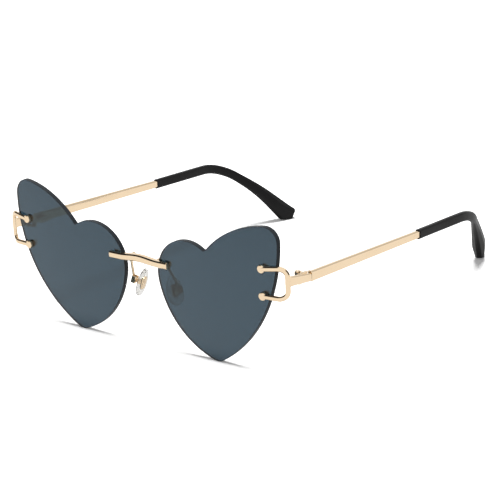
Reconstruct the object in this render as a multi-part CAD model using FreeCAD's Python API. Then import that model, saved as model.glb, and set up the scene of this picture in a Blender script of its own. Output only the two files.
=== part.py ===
import FreeCAD, Part
import math
import os

# Heart shaped rimless sunglasses, in millimetres and degrees.
# +X is the wearer's left, +Y runs back along the temples, +Z is up and z = 0 is the table.
# Everything is drawn for the wearer's left side and mirrored for the right.

# Lenses: a heart of six arcs cut from a thin spherical shell
lens_width = 56.4
lens_height = 55.4
lens_gap = 16.4
lens_thickness = 2.0
lens_curve_radius = 283.0
lens_wrap = 1.5
lens_tilt = 0.85
lobe_radius = 15.2
lobe_drop = 10.4
corner_radius = 6.9
tip_radius = 3.5
tip_offset = 25.6
inner_side_radius = 34.9
outer_side_radius = 57.0
top_edge_radius = 38.5
notch_offset = 23.8
notch_radius = 0.4

# Lens fasteners: a stud through each hole, with a plastic washer and a hexagonal nut behind
stud_radius = 0.6
washer_radius = 1.45
washer_thickness = 0.3
nut_across_flats = 2.2
fastener_sides = 12
nut_height = 1.1

# Bridge: a polished bar that dips to a claw on each lens
bridge_height = 33.95
bridge_rise = 0.65
bridge_arch_half = 9.6
bar_height = 2.6
bar_depth = 2.3
bar_edge_chamfer = 0.6
claw_height = 2.2
claw_thickness = 1.6
claw_overlap = 6.1
claw_hole_inset = 4.2

# End pieces: a plain two-pronged stirrup that carries the hinge block
stirrup_rise = 0.75
prong_spacing = 10.2
prong_hole_inset = 2.9
prong_width = 1.9
prong_thickness = 1.4
boss_radius = 1.55
boss_sides = 24
stirrup_reach = 4.35
stirrup_sweep = 1.4
stirrup_fold = 0.5
fold_bend = 1.0
stirrup_bend = 2.9
bow_spread = 11.6
bow_rise = 0.6
stirrup_edge_chamfer = 0.4
block_front_height = 3.7
block_front_rise = 2.05
block_thickness = 1.8

# Hinges: three knuckles on a vertical screw, inside the temple line
hinge_setback = 12.0
hinge_inset = 2.75
hinge_rise = 0.75
knuckle_radius = 1.25
knuckle_height = 1.15
middle_knuckle_height = 1.6
hinge_screw_radius = 0.6
hinge_head_radius = 1.0
hinge_head_height = 0.4
leaf_thickness = 0.7
leaf_length = 4.6
hinge_web_reach = 0.7
seam_setback = 3.3

# Temples: a slim bevelled bar with a core wire inside a black tip
temple_outset = 3.65
temple_height = 34.35
temple_toe_in = 1.6
temple_slope = 3.23
temple_bar_height = 2.55
temple_bar_thickness = 1.7
temple_edge_chamfer = 0.4
bend_start = 95.6
bend_length = 18.0
drop_angle = 42.0
inward_angle = 30.0
bend_steps = 8
bend_samples = 40
core_height = 1.5
core_thickness = 0.8
core_end_margin = 9.0

# Temple tips: a sleeve that widens to a paddle, cut flat where it stands on the table
sleeve_start = 67.0
sleeve_height = 3.4
sleeve_thickness = 2.4
sleeve_edge_chamfer = 0.6
socket_depth = 3.0
fish_mouth = 0.9
paddle_height = 7.0
flare_power = 1.6
paddle_thickness = 5.0
paddle_peak = 0.7
foot_thickness = 3.2
foot_reach = 1.25

# Nose pads: a soft pad over a hard core, held in a box on a bent wire arm
arm_thickness = 1.0
arm_edge_chamfer = 0.3
arm_bend = 1.6
arm_root_x = 6.7
arm_back = 4.3
arm_knee_x = 9.8
arm_knee_y = 6.0
arm_knee_z = 30.6
pad_x = 8.4
pad_y = 9.7
pad_z = 20.6
pad_length = 11.4
pad_width = 6.8
pad_thickness = 2.6
pad_crown = 0.9
pad_crown_inset = 1.3
oval_sides = 28
pad_lean = 17.5
pad_rake = 6.5
pad_splay = 17.0
pad_to_pivot = 2.9
pad_core_length = 6.0
pad_core_width = 3.2
pad_core_thickness = 0.7
pad_core_chamfer = 0.8
tongue_thickness = 1.0
tongue_height = 1.7
tongue_end = 0.75
box_wall = 0.5
box_length = 2.7
box_depth = 2.0
pad_screw_radius = 0.36
pad_screw_head_radius = 0.62
pad_screw_head_height = 0.35

# Clearances
seat_gap = 0.03
fit_gap = 0.02
hole_gap = 0.1
turn_gap = 0.04
swing_gap = 0.15
seam_gap = 0.15

vec = FreeCAD.Vector
UP = vec(0, 0, 1)
BACK = vec(0, 1, 0)


def unit(vector):
    return vector * (1 / vector.Length)


def placed(shape, origin, z_axis, x_axis):
    # Moves a shape drawn at the origin so that its Z and X follow the two given directions.
    y_axis = z_axis.cross(x_axis)
    matrix = FreeCAD.Matrix(
        x_axis.x, y_axis.x, z_axis.x, origin.x,
        x_axis.y, y_axis.y, z_axis.y, origin.y,
        x_axis.z, y_axis.z, z_axis.z, origin.z,
        0, 0, 0, 1)
    moved = shape.copy()
    moved.Placement = FreeCAD.Placement(matrix)
    return moved


def mirrored(shape):
    return shape.mirror(vec(0, 0, 0), vec(1, 0, 0))


def span_box(low, high):
    # A box between two opposite corners.
    size = high - low
    return Part.makeBox(size.x, size.y, size.z, low)


def arc_about(centre, start, end):
    # The short arc from start to end about a centre.
    radius = (start - centre).Length
    middle = centre + unit(start + end - centre * 2) * radius
    return Part.Arc(start, middle, end).toShape()


def circle_meet(centre_a, radius_a, centre_b, radius_b):
    # The point at both distances from two centres, to the left of the line from a to b in the XZ plane.
    between = centre_b - centre_a
    length = between.Length
    along = (radius_a ** 2 - radius_b ** 2 + length ** 2) / (2 * length)
    aside = math.sqrt(radius_a ** 2 - along ** 2)
    left = unit(vec(-between.z, 0, between.x))
    return centre_a + unit(between) * along + left * aside


def bevelled_rectangle(centre, across, up, width, height, chamfer):
    # A closed outline of a rectangle with its corners cut off, starting at the same corner every time.
    half_w = width / 2
    half_h = height / 2
    corners = []
    for side_w, side_h in ((1, 1), (-1, 1), (-1, -1), (1, -1)):
        beside = centre + across * (side_w * half_w) + up * (side_h * (half_h - chamfer))
        above = centre + across * (side_w * (half_w - chamfer)) + up * (side_h * half_h)
        corners += [beside, above] if side_w == side_h else [above, beside]
    return Part.makePolygon(corners + [corners[0]])


def plain_rectangle(centre, across, up, width, height):
    corners = []
    for side_w, side_h in ((1, 1), (-1, 1), (-1, -1), (1, -1), (1, 1)):
        corners.append(centre + across * (side_w * width / 2) + up * (side_h * height / 2))
    return Part.makePolygon(corners)


def rounded_path(points, bend_radii):
    # Straight runs joined by tangent arcs, one radius for each inner point.
    edges = []
    start = points[0]
    for before, corner, after, bend_radius in zip(points, points[1:], points[2:], bend_radii):
        to_before = unit(before - corner)
        to_after = unit(after - corner)
        half_turn = to_before.getAngle(to_after) / 2
        reach = bend_radius / math.tan(half_turn)
        sink = bend_radius / math.sin(half_turn) - bend_radius
        arc_start = corner + to_before * reach
        arc_end = corner + to_after * reach
        arc_middle = corner + unit(to_before + to_after) * sink
        edges.append(Part.makeLine(start, arc_start))
        edges.append(Part.Arc(arc_start, arc_middle, arc_end).toShape())
        start = arc_end
    edges.append(Part.makeLine(start, points[-1]))
    return Part.Wire(edges)


# Places that several pieces share
lens_inner = lens_gap / 2
lens_outer = lens_inner + lens_width
lens_middle = vec(lens_inner + lens_width / 2, 0, lens_height / 2)
lens_back_normal = unit(vec(-math.tan(math.radians(lens_wrap)), 1, math.tan(math.radians(lens_tilt))))
lens_centre = lens_middle + lens_back_normal * lens_curve_radius
hole_radius = stud_radius + hole_gap


def lens_ball(offset):
    # The ball whose surface lies the given distance in front of the lens's front face.
    return Part.makeSphere(lens_curve_radius + offset, lens_centre)


def on_lens(x, z):
    # The point of the lens's front face at x and z, and the direction straight back through the lens.
    dx = x - lens_centre.x
    dz = z - lens_centre.z
    y = lens_centre.y - math.sqrt(lens_curve_radius ** 2 - dx ** 2 - dz ** 2)
    point = vec(x, y, z)
    return point, unit(lens_centre - point)


lobe = vec(lens_inner + lobe_radius, 0, lens_height - lobe_drop - lobe_radius)
notch_x = lens_inner + notch_offset
notch = vec(notch_x, 0, lobe.z + math.sqrt(lobe_radius ** 2 - (notch_x - lobe.x) ** 2))
corner = vec(lens_outer - corner_radius, 0, lens_height - corner_radius)
tip = vec(lens_inner + tip_offset, 0, tip_radius)
outer_side = circle_meet(tip, outer_side_radius - tip_radius, corner, outer_side_radius - corner_radius)

stirrup_height = temple_height + stirrup_rise
prong_heights = [stirrup_height + prong_spacing / 2, stirrup_height - prong_spacing / 2]
lens_edge_x = outer_side.x + math.sqrt(outer_side_radius ** 2 - (prong_heights[1] - outer_side.z) ** 2)
prong_x = lens_edge_x - prong_hole_inset
prong_holes = [(prong_x, height) for height in prong_heights]
claw_hole = (lens_inner + claw_hole_inset, bridge_height)
lens_holes = [claw_hole] + prong_holes

temple_x = lens_outer + temple_outset
hinge_axis = vec(temple_x - hinge_inset, hinge_setback, temple_height + hinge_rise)
seam_y = hinge_setback + seam_setback
hinge_half = middle_knuckle_height / 2 + turn_gap + knuckle_height


def polygon_rod(sides, radius, length):
    # A regular prism standing on the origin, whose flats touch the radius.
    corner_radius_out = radius / math.cos(math.pi / sides)
    corners = []
    for index in range(sides + 1):
        angle = 2 * math.pi * index / sides
        corners.append(vec(corner_radius_out * math.cos(angle), corner_radius_out * math.sin(angle), 0))
    return Part.Face(Part.makePolygon(corners)).extrude(vec(0, 0, length))


def lens_rod(hole, sides, radius, start, length):
    # A prism on a lens hole's axis, from a depth behind the front face.
    point, back = on_lens(*hole)
    return placed(polygon_rod(sides, radius, length), point + back * start, back, unit(UP.cross(back)))


def heart_wire():
    inner_side = circle_meet(lobe, inner_side_radius - lobe_radius, tip, inner_side_radius - tip_radius)
    top_edge = circle_meet(corner, top_edge_radius - corner_radius, notch, top_edge_radius)
    lobe_end = lobe + unit(lobe - inner_side) * lobe_radius
    tip_start = tip + unit(tip - inner_side) * tip_radius
    tip_end = tip + unit(tip - outer_side) * tip_radius
    corner_start = corner + unit(corner - outer_side) * corner_radius
    corner_end = corner + unit(corner - top_edge) * corner_radius
    return Part.Wire([
        arc_about(lobe, notch, lobe_end),
        arc_about(inner_side, lobe_end, tip_start),
        arc_about(tip, tip_start, tip_end),
        arc_about(outer_side, tip_end, corner_start),
        arc_about(corner, corner_start, corner_end),
        arc_about(top_edge, corner_end, notch),
    ])


def lens():
    room = lens_width / 4
    outline = Part.Face(heart_wire())
    outline.translate(vec(0, -room, 0))
    blank = outline.extrude(vec(0, 2 * room, 0))
    solid = blank.common(lens_ball(0)).cut(lens_ball(-lens_thickness)).Solids[0]
    in_notch = [(edge.CenterOfMass - notch).cross(BACK).Length < seat_gap for edge in solid.Edges]
    notch_edges = [edge for edge, found in zip(solid.Edges, in_notch) if found]
    solid = solid.makeFillet(notch_radius, notch_edges)
    for hole in lens_holes:
        solid = solid.cut(lens_rod(hole, fastener_sides, hole_radius, -lens_thickness, 3 * lens_thickness))
    return solid


def lens_washer(hole):
    start = lens_thickness + seat_gap
    outside = lens_rod(hole, fastener_sides, washer_radius, start, washer_thickness)
    return outside.cut(lens_rod(hole, fastener_sides, stud_radius + fit_gap, 0, 2 * start))


def lens_nut(hole):
    start = lens_thickness + washer_thickness + 2 * seat_gap
    outside = lens_rod(hole, 6, nut_across_flats / 2, start, nut_height)
    return outside.cut(lens_rod(hole, fastener_sides, stud_radius + fit_gap, 0, 2 * (start + nut_height)))


def lens_stud(hole):
    # The threaded post behind a claw or prong, which ends inside the nut.
    embed = claw_thickness / 2
    through = lens_thickness + washer_thickness + 2 * seat_gap
    length = embed + through + nut_height - 2 * fit_gap
    return lens_rod(hole, fastener_sides, stud_radius, -embed, length)


def bridge_lift(x):
    # How far the bar has risen from the claws, from 0 to 1.
    share = min(1, abs(x) / bridge_arch_half)
    return (1 + math.cos(math.pi * share)) / 2


def bridge_section(x):
    lift = bridge_lift(x)
    front = on_lens(*claw_hole)[0].y - claw_thickness
    height = claw_height + (bar_height - claw_height) * lift
    centre = vec(x, front + bar_depth / 2, bridge_height + bridge_rise * lift)
    return bevelled_rectangle(centre, BACK, UP, bar_depth, height, bar_edge_chamfer)


def bridge():
    claw_end = lens_inner + claw_overlap
    stations = [claw_end, (claw_end + bridge_arch_half) / 2, bridge_arch_half]
    stations += [bridge_arch_half * share for share in (0.75, 0.5, 0.25)]
    stations += [0] + [-x for x in reversed(stations)]
    bar = Part.makeLoft([bridge_section(x) for x in stations], True, False)
    bar = bar.cut(lens_ball(seat_gap))
    bar = bar.cut(mirrored(lens_ball(seat_gap)))
    stud = lens_stud(claw_hole)
    return bar.fuse(stud).fuse(mirrored(stud))


bow_x = lens_outer + stirrup_reach - prong_width / 2


def prong_point(x, z):
    # A point on the stirrup's centre line, in front of the lens.
    point, back = on_lens(x, z)
    return point - back * (seat_gap + prong_thickness / 2)


def bow_point(z):
    return prong_point(bow_x, z) + BACK * stirrup_sweep


def stirrup():
    # A bevelled bar: one prong along the lens, back past its edge, round the bow and in again.
    fold_x = lens_outer + stirrup_fold
    halves = []
    for (hole_x, hole_z), side in zip(prong_holes, (1, -1)):
        bow_z = stirrup_height + bow_rise + side * bow_spread / 2
        share = (fold_x - hole_x) / (bow_x - hole_x)
        fold_z = hole_z + (bow_z - hole_z) * share
        fold_point = prong_point(fold_x, fold_z) - BACK * seat_gap
        halves.append([prong_point(hole_x, hole_z), fold_point, bow_point(bow_z)])
    points = halves[0] + halves[1][::-1]
    path = rounded_path(points, [fold_bend, stirrup_bend, stirrup_bend, fold_bend])
    along = unit(points[1] - points[0])
    across = unit(UP.cross(along))
    section = bevelled_rectangle(points[0], across, along.cross(across), prong_thickness, prong_width,
                                 stirrup_edge_chamfer)
    bar = path.makePipeShell([section], True)
    for hole in prong_holes:
        bar = bar.fuse(lens_rod(hole, boss_sides, boss_radius, -seat_gap - prong_thickness, prong_thickness))
    return bar


def hinge_block():
    # The tapered block from the bow to the seam, and the front leaf of the hinge.
    across = vec(1, 0, 0)
    at_bow = bevelled_rectangle(bow_point(temple_height + block_front_rise), across, UP,
                                block_thickness, block_front_height, temple_edge_chamfer)
    at_seam = bevelled_rectangle(vec(temple_x, seam_y, temple_height), across, UP,
                                 block_thickness, temple_bar_height, temple_edge_chamfer)
    block = Part.makeLoft([at_bow, at_seam], True, True)
    leaf_x = temple_x - block_thickness / 2
    half = vec(0, leaf_length / 2, hinge_half)
    leaf_middle = vec(leaf_x, hinge_axis.y, hinge_axis.z)
    leaf = span_box(leaf_middle - half - across * leaf_thickness,
                    leaf_middle + half + across * (block_thickness / 4))
    return block.fuse(leaf)


def hinge_bore(gap):
    # The hole for the hinge screw, with a gap round its shank.
    return Part.makeCylinder(hinge_screw_radius + gap, 4 * hinge_half, hinge_axis - UP * 2 * hinge_half)


def outer_knuckles():
    # The upper and lower knuckles of the front leaf, with their webs.
    shapes = []
    for base in (-hinge_half, hinge_half - knuckle_height):
        foot = hinge_axis + UP * base
        shapes.append(Part.makeCylinder(knuckle_radius, knuckle_height, foot))
        shapes.append(span_box(foot - BACK * knuckle_radius,
                               foot + vec(hinge_inset - block_thickness / 2, knuckle_radius, knuckle_height)))
    return shapes


def end_piece():
    solid = stirrup().fuse(hinge_block())
    for shape in outer_knuckles():
        solid = solid.fuse(shape)
    swing = middle_knuckle_height / 2 + turn_gap
    room = Part.makeCylinder(knuckle_radius + swing_gap, 2 * swing, hinge_axis - UP * swing)
    solid = solid.cut(room)
    solid = solid.cut(hinge_bore(fit_gap))
    for hole in prong_holes:
        solid = solid.fuse(lens_stud(hole))
    return solid


def headed_screw(shank_radius, shank_length, head_radius, head_height):
    # A screw standing on its shank's end, with a low head on top.
    shank = Part.makeCylinder(shank_radius, shank_length)
    head = polygon_rod(fastener_sides, head_radius, head_height)
    head.translate(vec(0, 0, shank_length))
    return shank.fuse(head)


def hinge_screw():
    length = 2 * hinge_half + seat_gap
    screw = headed_screw(hinge_screw_radius, length, hinge_head_radius, hinge_head_height)
    screw.translate(hinge_axis - UP * hinge_half)
    return screw


def heading(toe_in, slope):
    # The directions along, out from and up from a temple that runs back, inward and down.
    yaw = math.radians(toe_in)
    pitch = math.radians(slope)
    out = vec(math.cos(yaw), math.sin(yaw), 0)
    along = vec(-math.sin(yaw) * math.cos(pitch), math.cos(yaw) * math.cos(pitch), -math.sin(pitch))
    return along, out, out.cross(along)


def bend_share(distance):
    return min(1, max(0, (distance - bend_start) / bend_length))


def temple_heading(distance):
    share = bend_share(distance)
    return heading(temple_toe_in + (inward_angle - temple_toe_in) * share,
                   temple_slope + (drop_angle - temple_slope) * share)


def temple_point(distance):
    # The temple's centre line at a distance behind the seam: straight, an even bend, then straight.
    start = vec(temple_x, seam_y, temple_height)
    point = start + temple_heading(0)[0] * min(distance, bend_start)
    bent = min(max(distance - bend_start, 0), bend_length)
    for index in range(bend_samples):
        middle = bend_start + bent * (index + 0.5) / bend_samples
        point += temple_heading(middle)[0] * (bent / bend_samples)
    beyond = max(distance - bend_start - bend_length, 0)
    return point + temple_heading(distance)[0] * beyond


def temple_end():
    # The distance at which the tip's centre line lands on the table.
    bend_end = bend_start + bend_length
    return bend_end + temple_point(bend_end).z / math.sin(math.radians(drop_angle))


def temple_section(distance, thickness, height, chamfer):
    along, out, up = temple_heading(distance)
    return bevelled_rectangle(temple_point(distance), out, up, thickness, height, chamfer)


def bend_stations():
    # Sections close together round the bend.
    return [bend_start + bend_length * index / bend_steps for index in range(bend_steps + 1)]


def core_loft(start, end, gap):
    wires = []
    for distance in [start] + bend_stations() + [end]:
        along, out, up = temple_heading(distance)
        wires.append(plain_rectangle(temple_point(distance), out, up,
                                     core_thickness + 2 * gap, core_height + 2 * gap))
    return Part.makeLoft(wires, True, True)


def bar_loft(start, end, gap):
    thickness = temple_bar_thickness + 2 * gap
    height = temple_bar_height + 2 * gap
    return Part.makeLoft([temple_section(distance, thickness, height, temple_edge_chamfer)
                          for distance in (start, end)], True, True)


def middle_knuckle():
    # The temple's knuckle and the web that ties it to the inside of the bar.
    half = middle_knuckle_height / 2
    foot = hinge_axis - UP * half
    knuckle = Part.makeCylinder(knuckle_radius, middle_knuckle_height, foot)
    flat_half = temple_bar_height / 2 - temple_edge_chamfer
    web = span_box(vec(hinge_axis.x - knuckle_radius, hinge_axis.y, foot.z),
                   vec(hinge_axis.x + hinge_web_reach, seam_y + leaf_length, temple_height + flat_half))
    pad = span_box(vec(hinge_axis.x - knuckle_radius, seam_y + 2 * swing_gap, temple_height - flat_half),
                   vec(temple_x, seam_y + leaf_length, temple_height + flat_half))
    return knuckle.fuse(web).fuse(pad)


def temple():
    bar_end = sleeve_start + socket_depth - seat_gap
    core_end = temple_end() - core_end_margin
    solid = bar_loft(seam_gap, bar_end, 0)
    solid = solid.fuse(core_loft(bar_end - socket_depth / 2, core_end, 0))
    solid = solid.fuse(middle_knuckle())
    return solid.cut(hinge_bore(turn_gap)).removeSplitter()


def tip_size(distance):
    # Thickness and height of the tip, which flares from the bend and gets thinner again towards its foot.
    bend_end = bend_start + bend_length
    share = min(1, max(0, (distance - bend_end) / (temple_end() - bend_end)))
    height = sleeve_height + (paddle_height - sleeve_height) * share ** flare_power
    if share < paddle_peak:
        return sleeve_thickness + (paddle_thickness - sleeve_thickness) * share / paddle_peak, height
    taper = (share - paddle_peak) / (1 - paddle_peak)
    return paddle_thickness + (foot_thickness - paddle_thickness) * taper, height


def tip_blank():
    # The tip before it is cut to its foot, a little longer than it will be.
    end = temple_end()
    bend_end = bend_start + bend_length
    peak = bend_end + (end - bend_end) * paddle_peak
    stations = [sleeve_start] + bend_stations() + [(bend_end + peak) / 2, peak, end, end + 2 * foot_reach]
    wires = []
    for distance in stations:
        thickness, height = tip_size(distance)
        wires.append(temple_section(distance, thickness, height, sleeve_edge_chamfer))
    return Part.makeLoft(wires, True, True)


def foot_cuts():
    # The room below the table and the room behind the upright end of the foot.
    end_point = temple_point(temple_end())
    along = temple_heading(temple_end())[0]
    level = unit(vec(along.x, along.y, 0))
    reach = 2 * paddle_height
    cube = span_box(vec(-reach, -reach, 0), vec(reach, reach, reach))
    table = placed(cube, vec(end_point.x, end_point.y, 0), UP * -1, level)
    return table, placed(cube, end_point + level * foot_reach, level, UP)


def temple_tip():
    end = temple_end()
    solid = tip_blank()
    for room in foot_cuts():
        solid = solid.cut(room)
    solid = solid.cut(bar_loft(sleeve_start - 1, sleeve_start + socket_depth, fit_gap))
    solid = solid.cut(core_loft(sleeve_start + socket_depth / 2, end - core_end_margin + seat_gap, fit_gap))
    along, out, up = temple_heading(sleeve_start)
    mouth_radius = (sleeve_height ** 2 / 4 + fish_mouth ** 2) / (2 * fish_mouth)
    mouth_centre = temple_point(sleeve_start) + along * (fish_mouth - mouth_radius)
    mouth = Part.makeCylinder(mouth_radius, 2 * sleeve_thickness, mouth_centre - out * sleeve_thickness, out)
    return solid.cut(mouth)


# The pad's own directions: up its length, out of its face towards the nose, and across its width
pad_up = unit(vec(-math.tan(math.radians(pad_lean)), math.tan(math.radians(pad_rake)), 1))
pad_flat_face = vec(-math.cos(math.radians(pad_splay)), math.sin(math.radians(pad_splay)), 0)
pad_face = unit(pad_flat_face - pad_up * pad_flat_face.dot(pad_up))
pad_across = pad_up.cross(pad_face)
pad_middle = vec(pad_x, pad_y, pad_z)
pad_pivot = pad_middle - pad_face * pad_to_pivot


def on_pad(shape):
    # Places a shape drawn with Z out of the pad's face and X across it, with the pivot at the origin.
    return placed(shape, pad_pivot, pad_face, pad_across)


def oval(length, width, height):
    # An oval of many short sides, of length along Y and width along X, at a height.
    points = []
    for index in range(oval_sides + 1):
        angle = 2 * math.pi * index / oval_sides
        points.append(vec(width / 2 * math.cos(angle), length / 2 * math.sin(angle), height))
    return Part.makePolygon(points)


def core_plate(gap):
    # The flat of the hard insert, or the pocket for it with a gap all round.
    half = pad_core_thickness / 2 + gap
    outline = bevelled_rectangle(vec(0, 0, pad_to_pivot - half), vec(1, 0, 0), vec(0, 1, 0),
                                 pad_core_width + 2 * gap, pad_core_length + 2 * gap, pad_core_chamfer)
    return Part.Face(outline).extrude(vec(0, 0, 2 * half))


def core_tongue(gap):
    half_t = tongue_thickness / 2 + gap
    half_h = tongue_height / 2 + gap
    return span_box(vec(-half_t, -half_h, -tongue_end), vec(half_t, half_h, pad_to_pivot))


def nose_pad():
    # A soft oval with a crowned face, moulded round its core.
    low = pad_to_pivot - pad_thickness / 2
    high = low + pad_thickness
    body = Part.makeLoft([
        oval(pad_length, pad_width, low),
        oval(pad_length, pad_width, high - pad_crown),
        oval(pad_length - 2 * pad_crown_inset, pad_width - 2 * pad_crown_inset, high),
    ], True, True)
    return on_pad(body.cut(core_plate(fit_gap)).cut(core_tongue(fit_gap)))


def nose_pad_core():
    # The hard insert with the tongue that hangs on the pad screw.
    body = core_plate(0).fuse(core_tongue(0))
    bore = Part.makeCylinder(pad_screw_radius + turn_gap, 2 * tongue_thickness,
                             vec(-tongue_thickness, 0, 0), vec(1, 0, 0))
    return on_pad(body.cut(bore))


def pad_box():
    # The cup at the end of the arm: two cheeks and a floor round the tongue.
    slot_half = tongue_thickness / 2 + swing_gap
    half_x = slot_half + box_wall
    floor = -tongue_height / 2 - swing_gap
    cup = span_box(vec(-half_x, -box_length / 2, floor - box_wall),
                   vec(half_x, box_length / 2, floor - box_wall + box_depth))
    cup = cup.cut(span_box(vec(-slot_half, -box_length, floor), vec(slot_half, box_length, box_depth)))
    across = vec(1, 0, 0)
    cup = cup.cut(Part.makeCylinder(pad_screw_radius + fit_gap, 4 * half_x, vec(-2 * half_x, 0, 0), across))
    return on_pad(cup)


def nose_pad_screw():
    half_x = tongue_thickness / 2 + swing_gap + box_wall
    screw = headed_screw(pad_screw_radius, 2 * half_x + fit_gap, pad_screw_head_radius, pad_screw_head_height)
    screw.translate(vec(0, 0, -half_x))
    return placed(screw, pad_pivot, pad_across, pad_up)


def nose_pad_arm(bridge_solid):
    # A wire brazed to the back of the bridge, bent down behind the lens to the pad box.
    bar_back = on_lens(*claw_hole)[0].y - claw_thickness + bar_depth
    root_z = bridge_height + bridge_rise * bridge_lift(arm_root_x)
    box_back = pad_pivot - pad_face * (tongue_height / 2 + swing_gap + box_wall / 2)
    points = [
        vec(arm_root_x, bar_back - bar_depth / 3, root_z),
        vec(arm_root_x, bar_back + arm_back, root_z),
        vec(arm_knee_x, arm_knee_y, arm_knee_z),
        box_back + pad_up * (box_length / 2),
    ]
    path = rounded_path(points, [arm_bend, arm_bend])
    section = bevelled_rectangle(points[0], vec(1, 0, 0), UP, arm_thickness, arm_thickness, arm_edge_chamfer)
    wire = path.makePipeShell([section], True)
    return wire.fuse(pad_box()).cut(bridge_solid)


def build():
    # Every piece by its node's name.
    pieces = {"bridge": bridge()}
    sided = {
        "lens": lens(),
        "end_piece": end_piece(),
        "hinge_screw": hinge_screw(),
        "temple": temple(),
        "temple_tip": temple_tip(),
        "nose_pad_arm": nose_pad_arm(pieces["bridge"]),
        "nose_pad": nose_pad(),
        "nose_pad_core": nose_pad_core(),
        "nose_pad_screw": nose_pad_screw(),
    }
    for name, shape in sided.items():
        pieces[name + "_left"] = shape
        pieces[name + "_right"] = mirrored(shape)
    for name, maker in (("lens_washers", lens_washer), ("lens_nuts", lens_nut)):
        left = [maker(hole) for hole in lens_holes]
        pieces[name] = Part.makeCompound(left + [mirrored(shape) for shape in left])
    return pieces


def main():
    os.makedirs("parts", exist_ok=True)
    pieces = build()
    # The origin goes to the middle of the footprint, on the table.
    box = Part.makeCompound(list(pieces.values())).optimalBoundingBox(False, False)
    shift = vec(0, -(box.YMin + box.YMax) / 2, 0)
    for name, shape in pieces.items():
        shape.translate(shift)
        shape.exportStep(os.path.join("parts", name + ".step"))
        print(name, len(shape.Solids), "solids", round(shape.Volume, 2), "mm3", shape.isValid())
    print("footprint shift", round(shift.y, 4))
    print("hinge axis", [round(v, 4) for v in hinge_axis + shift])
    print("pad pivot", [round(v, 4) for v in pad_pivot + shift])
    print("pad axis", [round(v, 6) for v in pad_across])


main()
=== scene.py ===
import math

import bmesh
import bpy
import numpy as np
from mathutils import Matrix
from mathutils.geometry import delaunay_2d_cdt


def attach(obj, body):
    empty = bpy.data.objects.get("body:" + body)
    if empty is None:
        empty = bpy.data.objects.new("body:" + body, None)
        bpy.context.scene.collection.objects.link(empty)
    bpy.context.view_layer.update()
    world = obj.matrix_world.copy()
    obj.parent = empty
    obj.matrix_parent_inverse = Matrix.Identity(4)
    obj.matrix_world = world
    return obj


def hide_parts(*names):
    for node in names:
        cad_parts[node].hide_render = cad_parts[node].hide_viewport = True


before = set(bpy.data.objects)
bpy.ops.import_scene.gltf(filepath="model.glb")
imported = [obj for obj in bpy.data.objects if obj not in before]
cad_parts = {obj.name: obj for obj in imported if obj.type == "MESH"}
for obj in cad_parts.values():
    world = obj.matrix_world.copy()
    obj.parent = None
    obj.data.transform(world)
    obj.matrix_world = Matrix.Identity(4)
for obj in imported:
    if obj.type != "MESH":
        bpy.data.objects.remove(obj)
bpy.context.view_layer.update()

# Sizes are in millimetres and angles in degrees, in the CAD's frame: x to the wearer's left, y back, z up.
mm = 0.001
lensFrontY = -74.1523  # the middle of each lens's front face
lensHeight = 55.4
mergeReach = 0.0002  # points closer than this become one
creaseAngle = 38  # edges that turn by more stay sharp
rightward = np.array([1.0, 0.0, 0.0])
backward = np.array([0.0, 1.0, 0.0])
upward = np.array([0.0, 0.0, 1.0])


# v divided by its length, for one vector or rows of them
def unit(v):
    v = np.asarray(v, float)
    return v / np.linalg.norm(v, axis=-1, keepdims=True)


# The tangent of an angle in degrees
def tangent(degrees):
    return math.tan(math.radians(degrees))


# 3t^2 - 2t^3: rises from 0 to 1 with level ends
def ease(t):
    t = np.clip(t, 0, 1)
    return t * t * (3 - 2 * t)


# (a + b - sqrt((a - b)^2 + blend^2)) / 2: the smaller of the two, with the kink rounded
def softMin(a, b, blend):
    return (a + b - np.sqrt((a - b) ** 2 + blend ** 2)) / 2


# 0 below -blend, v above blend, and the parabola (v + blend)^2 / (4 blend) between
def softFloor(v, blend):
    return np.where(np.abs(v) < blend, (v + blend) ** 2 / (4 * blend), np.maximum(v, 0))


# (1-t)^2 a + 2t(1-t) c + t^2 b: runs from a to b and leans towards c
def parabola(a, c, b, t):
    return (1 - t) ** 2 * a + 2 * t * (1 - t) * c + t ** 2 * b


# Columns side by side, so that each row is a point
def columns(*parts):
    return np.stack(np.broadcast_arrays(*parts), -1)


# (cos, sin) of each angle
def onCircle(angle):
    return columns(np.cos(angle), np.sin(angle))


# (cos, sin) of equal steps of a full turn
def circle(count):
    return onCircle(2 * np.pi * np.arange(count) / count)


# The four corners of a rectangle of (width, height), for one size or rows of them
def rectangle(width, height):
    return np.array([[1, 1], [-1, 1], [-1, -1], [1, -1]]) * columns(width, height)[..., None, :] / 2


# A rectangle with cut corners: eight points, with one cut on its width's low side and one on the high side
def bevelled(width, height, cutLow, cutHigh=None):
    cutHigh = cutLow if cutHigh is None else cutHigh
    w, h = width / 2, height / 2
    x = columns(w, w - cutHigh, cutLow - w, -w, -w, cutLow - w, w - cutHigh, w)
    z = columns(h - cutHigh, h, h, h - cutLow, cutLow - h, -h, -h, cutHigh - h)
    return columns(x, z)


# Each corner becomes a parabola between the points reach away from it on its two sides
def roundCorners(corners, reach, steps=4):
    corners = np.asarray(corners, float)
    before = unit(np.roll(corners, 1, -2) - corners)
    after = unit(np.roll(corners, -1, -2) - corners)
    curve = parabola((corners + before * reach)[..., None, :], corners[..., None, :],
                     (corners + after * reach)[..., None, :], np.linspace(0, 1, steps)[:, None])
    return curve.reshape(corners.shape[:-2] + (-1, 2))


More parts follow.
